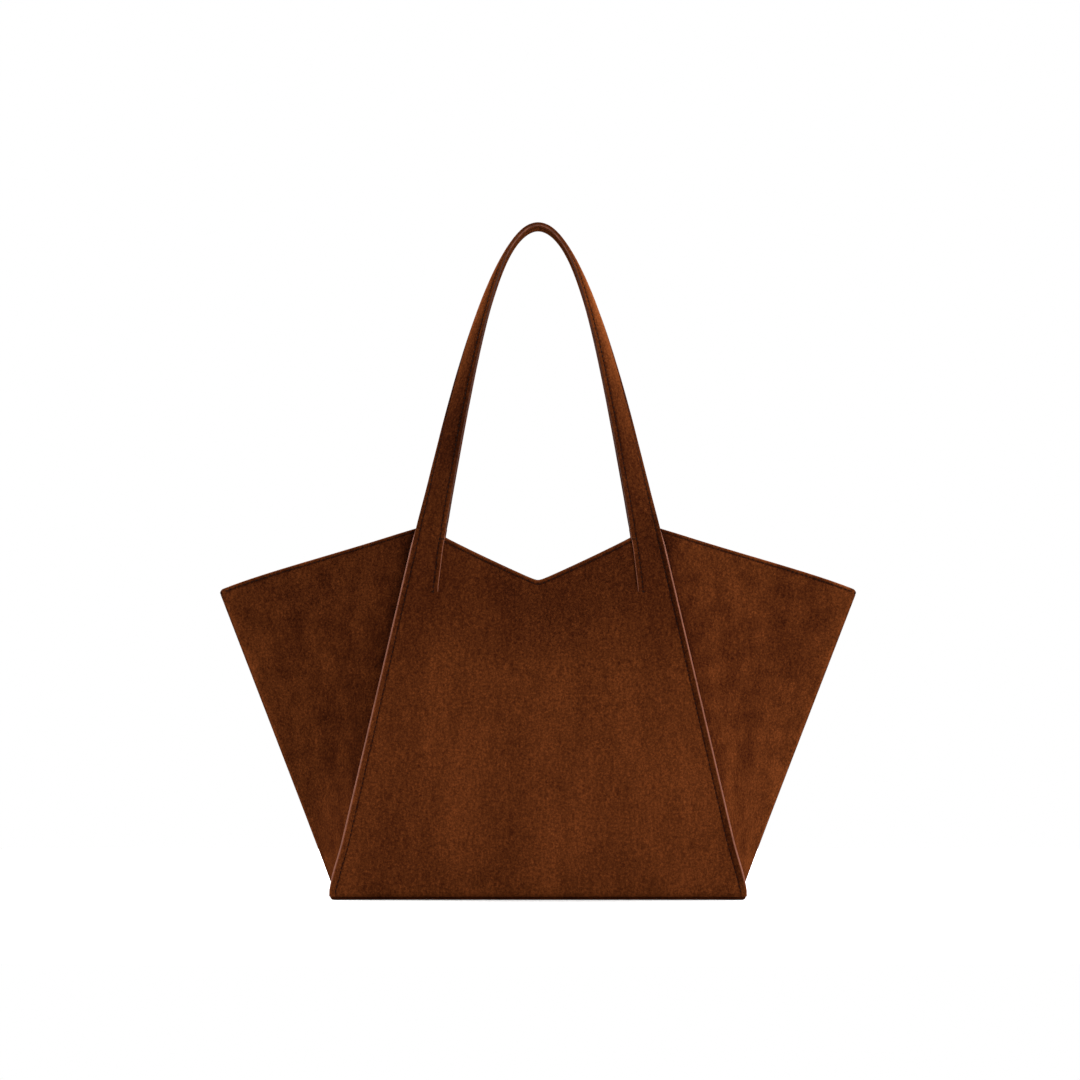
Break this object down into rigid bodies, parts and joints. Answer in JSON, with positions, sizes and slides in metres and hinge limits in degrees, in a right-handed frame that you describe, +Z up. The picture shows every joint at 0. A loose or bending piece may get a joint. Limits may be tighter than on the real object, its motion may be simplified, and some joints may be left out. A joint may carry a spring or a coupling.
{
  "type": "tote bag",
  "caption": "Structured suede shoulder tote with a trapezium front, winged sides, a notched open mouth and padded strap handles that fold down outwards.",
  "frame": {"origin": "middle of the base's underside, on the surface that the bag stands on", "axes": "+Z up, +X to the right of someone looking at the front, +Y from the front panel to the back panel; the front faces -Y"},
  "size_m": [0.4922, 0.15, 0.5217],
  "materials": {
    "suede": "brown suede, napped and matt, with painted edges",
    "board": "bonded fibre stiffener",
    "lining": "tan cotton twill",
    "filler": "felted padding"
  },
  "bodies": {
    "bag": {"front_panel": "suede", "front_stiffener": "board", "front_lining": "lining", "front_left_strap_end": "suede", "front_left_wing": "suede", "front_left_wing_stiffener": "board", "front_left_wing_lining": "lining", "front_right_strap_end": "suede", "front_right_wing": "suede", "front_right_wing_stiffener": "board", "front_right_wing_lining": "lining", "back_panel": "suede", "back_stiffener": "board", "back_lining": "lining", "back_left_strap_end": "suede", "back_left_wing": "suede", "back_left_wing_stiffener": "board", "back_left_wing_lining": "lining", "back_right_strap_end": "suede", "back_right_wing": "suede", "back_right_wing_stiffener": "board", "back_right_wing_lining": "lining", "base_panel": "suede", "base_board": "board", "base_lining": "lining", "slip_pocket": "lining"},
    "front_handle": {"front_handle_outer_strap": "suede", "front_handle_core": "filler", "front_handle_inner_strap": "suede"},
    "back_handle": {"back_handle_outer_strap": "suede", "back_handle_core": "filler", "back_handle_inner_strap": "suede"}
  },
  "joints": [
    {"name": "front_handle_fold", "type": "hinge", "parent": "bag", "child": "front_handle", "pos_m": [0, -0.0605, 0.2844], "axis": [1, 0, 0], "range_deg": [0, 165]},
    {"name": "back_handle_fold", "type": "hinge", "parent": "bag", "child": "back_handle", "pos_m": [0, 0.0605, 0.2844], "axis": [-1, 0, 0], "range_deg": [0, 165]}
  ]
}
